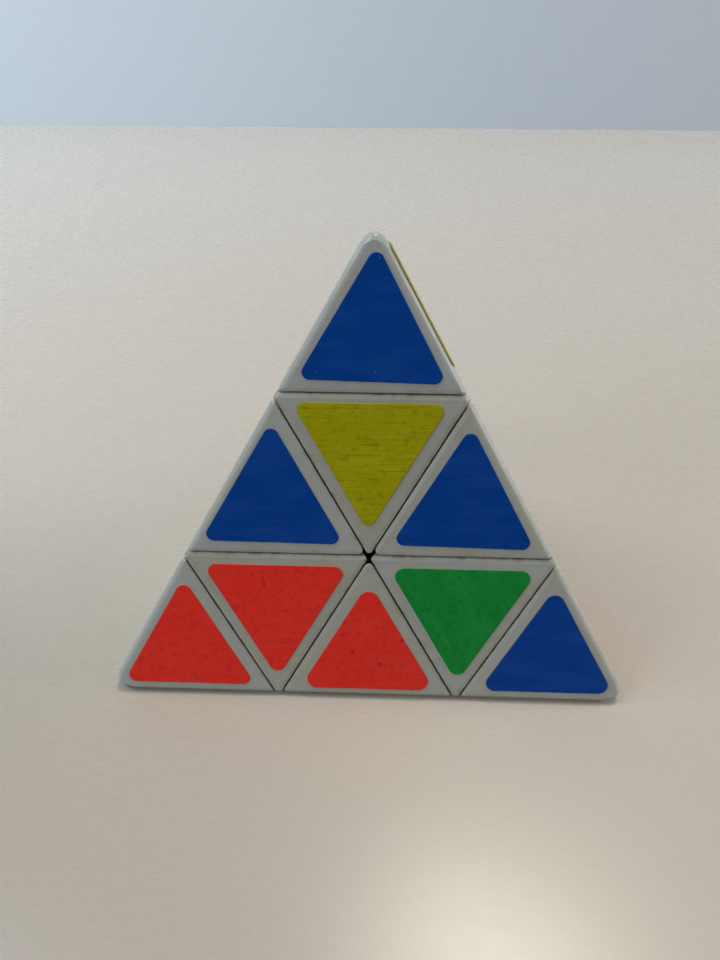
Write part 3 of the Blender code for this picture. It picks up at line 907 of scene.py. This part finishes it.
top_axis = AXES["top"]
side_axes = [AXES[name] for name in ("left", "right", "back")]
shells = {
    "tip": (
        tip_mesh(),
        shell_material("shell_tip", side_axes, [(top_axis, 1.0, TIP_PLANE)]),
    ),
    "axial": (
        axial_mesh(),
        shell_material(
            "shell_axial",
            side_axes,
            [(top_axis, -1.0, TIP_PLANE), (top_axis, 1.0, LAYER_PLANE)]
            + [(axis, -1.0, LAYER_PLANE) for axis in side_axes],
        ),
    ),
    "edge": (
        edge_mesh(),
        shell_material(
            "shell_edge",
            [AXES["right"], AXES["back"]],
            [(top_axis, 1.0, LAYER_PLANE), (AXES["left"], 1.0, LAYER_PLANE)],
        ),
    ),
}
places = []
for index, corner in enumerate(CORNERS):
    neighbour = CORNERS[(index + 1) % len(CORNERS)]
    turn = turned_to(corner, neighbour)
    places += [("tip", corner, turn), ("axial", corner, turn)]
for first, second in itertools.combinations(CORNERS, 2):
    places.append(("edge", f"{first}_{second}", turned_to(first, second)))
for number, (kind, place, turn) in enumerate(places):
    prototype, shell = shells[kind]
    own = prototype.copy()
    local = points_of(own).astype(float) * TO_MM
    set_vectors(own, "local", local)
    set_vectors(own, "grain", local + seed_shift(number + 1))
    age = own.attributes.new("age", "FLOAT", "POINT")
    age.data.foreach_set("value", np.full(len(local), AGES.get(place, AGES[kind]), np.float32))
    own.transform(turn)
    add_piece(f"look_{kind}_{place}", own, shell, f"{kind}_{place}")

sticker_shades = {colour: sticker_material(colour) for colour in STICKER_COLOUR}
LIFTS = (0.0, 0.03, 0.0, 0.06, 0.0, 0.0, 0.04)
number = 0
for face, kinds in LAYOUT.items():
    across, up, outward = face_frame(face)
    for kind, stuck in kinds.items():
        for place, colour in stuck.items():
            number += 1
            corner_round = STICKER_CORNERS.get((face, kind, place), STICKER_CORNER)
            lift = 0.0 if face == "base" else LIFTS[number % len(LIFTS)]
            own = sticker_mesh(STICKER_SIDE[kind], corner_round, number, lift)
            own.transform(sticker_placement(face, kind, place))
            at = points_of(own).astype(float)
            flat = np.stack([at @ np.array(way) for way in (across, up, outward)], axis=1)
            slant = math.radians(GRAIN_TURNS.get((face, kind, place), 0.0))
            cosine, sine = math.cos(slant), math.sin(slant)
            flat[:, :2] = flat[:, :2] @ np.array([[cosine, -sine], [sine, cosine]])
            set_vectors(own, "grain", flat + seed_shift(number) * np.array([1.0, 1.0, 0.0]))
            if (face, kind, place) in SLIPS and face != "front":
                hug_edge(own, AXES["back"], outward)
            own.transform(Matrix.Scale(MM, 4))
            name = f"sticker_{face}_{kind}_{place}"
            add_piece("look_" + name, own, sticker_shades[colour], name)

# Core, screws and springs stay as they are in the CAD, with their own finish
finishes = {
    "core": core_material(),
    "screw": steel_material("screw_steel", (0.3, 0.3, 6.0)),
    "spring": steel_material("spring_steel", (2.0, 2.0, 2.0)),
}
for name, node in frame["nodes"].items():
    finish = finishes.get(name.split("_")[0])
    if finish is not None:
        set_vectors(node.data, "grain", points_of(node.data).astype(float) * TO_MM)
        for material_slot in node.material_slots:
            material_slot.material = finish

# ---------------------------------------------------------------- floor, backdrop, light, camera
FLOOR = cad_box[0].z
WALL_AT = 0.487
WALL_TOP = 0.55
REACH = 1.6


def flat_sheet(name, corners, material):
    mesh = bpy.data.meshes.new(name)
    mesh.from_pydata(corners, [], [(0, 1, 2, 3)])
    mesh.materials.append(material)
    obj = bpy.data.objects.new(name, mesh)
    bpy.context.scene.collection.objects.link(obj)
    return obj


flat_sheet(
    "table_top",
    [
        (-REACH, -REACH, FLOOR),
        (REACH, -REACH, FLOOR),
        (REACH, WALL_AT, FLOOR),
        (-REACH, WALL_AT, FLOOR),
    ],
    table_material(),
)
flat_sheet(
    "backdrop",
    [
        (-REACH, WALL_AT, FLOOR),
        (REACH, WALL_AT, FLOOR),
        (REACH, WALL_AT, WALL_TOP),
        (-REACH, WALL_AT, WALL_TOP),
    ],
    wall_material(),
)


def area_light(name, at, towards, size, power, colour):
    data = bpy.data.lights.new(name, "AREA")
    data.shape = "RECTANGLE"
    data.size, data.size_y = size
    data.energy = power
    data.color = colour
    obj = bpy.data.objects.new(name, data)
    obj.location = at
    obj.rotation_mode = "QUATERNION"
    obj.rotation_quaternion = (Vector(towards) - Vector(at)).to_track_quat("-Z", "Y")
    bpy.context.scene.collection.objects.link(obj)
    return obj


# (name, at, aimed at, size, power in watts, colour)
LIGHTS = [
    ("lamp", (0.205, 0.335, 1.22), (0.0, 0.0, 0.0), (0.34, 0.24), 6.0, (1.0, 0.93, 0.79)),
    ("wall_wash", (-0.55, 0.05, 0.60), (-0.45, WALL_AT, 0.10), (0.60, 0.30), 3.1, (0.88, 0.94, 1.0)),
    ("wall_glow", (-0.60, 0.30, 0.20), (-0.35, WALL_AT, 0.0), (0.20, 0.20), 0.2, (0.85, 0.93, 1.0)),
    ("window_right", (0.95, 0.15, 0.35), (0.0, 0.0, 0.02), (0.60, 0.50), 3.5, (1.0, 0.98, 0.95)),
    ("ceiling", (0.0, -0.10, 1.50), (0.0, 0.0, 0.0), (1.50, 1.50), 1.5, (1.0, 0.93, 0.82)),
    ("front_left", (-0.80, -0.55, 0.45), (0.0, 0.0, 0.02), (0.40, 0.40), 1.9, (1.0, 0.97, 0.92)),
    ("front_right", (0.80, -0.55, 0.45), (0.0, 0.0, 0.02), (0.40, 0.40), 1.0, (1.0, 0.99, 0.95)),
]
WORLD = ((1.0, 0.98, 0.96), 0.06)
for light in LIGHTS:
    area_light(*light)
world = bpy.data.worlds.new("studio")
bpy.context.scene.world = world
world.use_nodes = True
world.node_tree.nodes["Background"].inputs["Color"].default_value = (*WORLD[0], 1.0)
world.node_tree.nodes["Background"].inputs["Strength"].default_value = WORLD[1]
bpy.context.scene.view_settings.view_transform = "Standard"

FOCAL_PIXELS = 721.0
LONG_SIDE = 960.0
SENSOR = 36.0
AZIMUTH, ELEVATION, DISTANCE = 0.0122, 0.6904, 144.0522
ROLL, TILT, PAN = -0.014, -0.0511, -0.0157
towards_camera = Vector(
    (
        math.sin(AZIMUTH) * math.cos(ELEVATION),
        -math.cos(AZIMUTH) * math.cos(ELEVATION),
        math.sin(ELEVATION),
    )
)
rightwards = Vector((math.cos(AZIMUTH), math.sin(AZIMUTH), 0.0))
upwards = towards_camera.cross(rightwards)
turned = (
    Matrix.Rotation(ROLL, 3, "Z")
    @ Matrix.Rotation(TILT, 3, "X")
    @ Matrix.Rotation(PAN, 3, "Y")
    @ Matrix((rightwards, upwards, towards_camera))
)
camera_data = bpy.data.cameras.new("camera")
camera_data.sensor_fit = "AUTO"
camera_data.sensor_width = SENSOR
camera_data.lens = FOCAL_PIXELS / LONG_SIDE * SENSOR
camera_data.clip_start, camera_data.clip_end = 0.01, 20.0
camera = bpy.data.objects.new("camera", camera_data)
camera_at = Matrix.Translation(towards_camera * DISTANCE * MM)
camera.matrix_world = camera_at @ turned.transposed().to_4x4()
bpy.context.scene.collection.objects.link(camera)
bpy.context.scene.camera = camera

bpy.context.view_layer.update()
